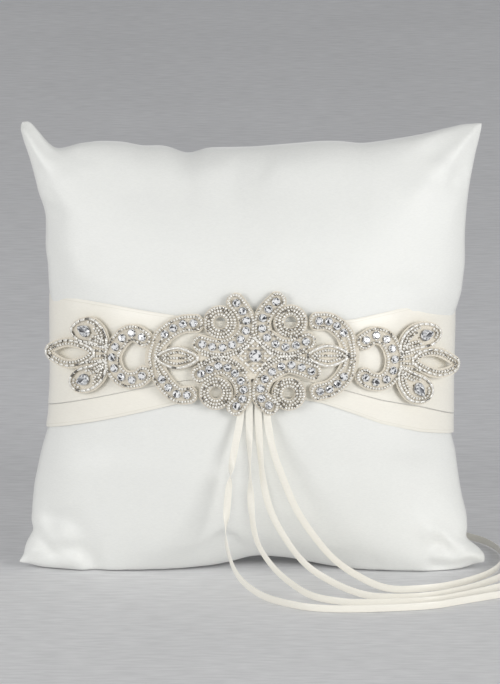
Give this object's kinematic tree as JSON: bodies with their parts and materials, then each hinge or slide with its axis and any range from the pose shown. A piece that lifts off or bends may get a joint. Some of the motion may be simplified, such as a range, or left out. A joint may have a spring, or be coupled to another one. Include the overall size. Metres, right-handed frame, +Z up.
{
  "type": "ring bearer pillow",
  "caption": "Square knife-edge satin ring bearer pillow with a gathered satin sash, a beaded and jewelled applique across its front, and narrow ribbon tails for tying the rings.",
  "frame": {"origin": "centre of the pillow's box at the level of the surface it stands on, left free ribbon tails out", "axes": "+X across the pillow to the viewer's right, -Y the way the applique faces, +Z up"},
  "size_m": [0.234, 0.1509, 0.1843],
  "materials": {
    "white_satin": "matt bridal satin, cool white, soft sheen",
    "polyester_fill": "loose white polyester fibre, inside the covers",
    "ivory_satin": "smooth ivory satin with a silky sheen",
    "beige_net": "fine beige net with a felt-like underside",
    "silver_lined_beads": "clear glass seed beads with a silvered bore",
    "foiled_crystal": "foil-backed cut crystal in bright metal cups"
  },
  "bodies": {
    "root": {"applique_backing": "beige_net", "centre_diamond_beads": "silver_lined_beads", "centre_stone": "foiled_crystal", "cover_back": "white_satin", "cover_front": "white_satin", "fibre_fill": "polyester_fill", "large_c_left_beads_left": "silver_lined_beads", "large_c_left_beads_right": "silver_lined_beads", "large_c_left_lower_stones": "foiled_crystal", "large_c_left_upper_stones": "foiled_crystal", "large_c_right_beads_left": "silver_lined_beads", "large_c_right_beads_right": "silver_lined_beads", "large_c_right_lower_stones": "foiled_crystal", "large_c_right_upper_stones": "foiled_crystal", "leaf_left_beads": "silver_lined_beads", "leaf_right_beads": "silver_lined_beads", "petal_left_lower_beads": "silver_lined_beads", "petal_left_middle_beads": "silver_lined_beads", "petal_left_upper_beads": "silver_lined_beads", "petal_right_lower_beads": "silver_lined_beads", "petal_right_middle_beads": "silver_lined_beads", "petal_right_upper_beads": "silver_lined_beads", "ribbon_tack": "ivory_satin", "ribbon_tail_1": "ivory_satin", "ribbon_tail_2": "ivory_satin", "ribbon_tail_3": "ivory_satin", "ribbon_tail_4": "ivory_satin", "ring_lower_left_beads": "silver_lined_beads", "ring_lower_right_beads": "silver_lined_beads", "ring_upper_left_beads": "silver_lined_beads", "ring_upper_right_beads": "silver_lined_beads", "sash_band": "ivory_satin", "scroll_lower_left_beads_left": "silver_lined_beads", "scroll_lower_left_beads_right": "silver_lined_beads", "scroll_lower_left_stones": "foiled_crystal", "scroll_lower_right_beads_left": "silver_lined_beads", "scroll_lower_right_beads_right": "silver_lined_beads", "scroll_lower_right_stones": "foiled_crystal", "scroll_upper_left_beads_left": "silver_lined_beads", "scroll_upper_left_beads_right": "silver_lined_beads", "scroll_upper_left_stones": "foiled_crystal", "scroll_upper_right_beads_left": "silver_lined_beads", "scroll_upper_right_beads_right": "silver_lined_beads", "scroll_upper_right_stones": "foiled_crystal", "small_c_left_beads_left": "silver_lined_beads", "small_c_left_beads_right": "silver_lined_beads", "small_c_left_stones": "foiled_crystal", "small_c_right_beads_left": "silver_lined_beads", "small_c_right_beads_right": "silver_lined_beads", "small_c_right_stones": "foiled_crystal", "teardrop_left_lower": "foiled_crystal", "teardrop_left_upper": "foiled_crystal", "teardrop_right_lower": "foiled_crystal", "teardrop_right_upper": "foiled_crystal"}
  },
  "joints": []
}
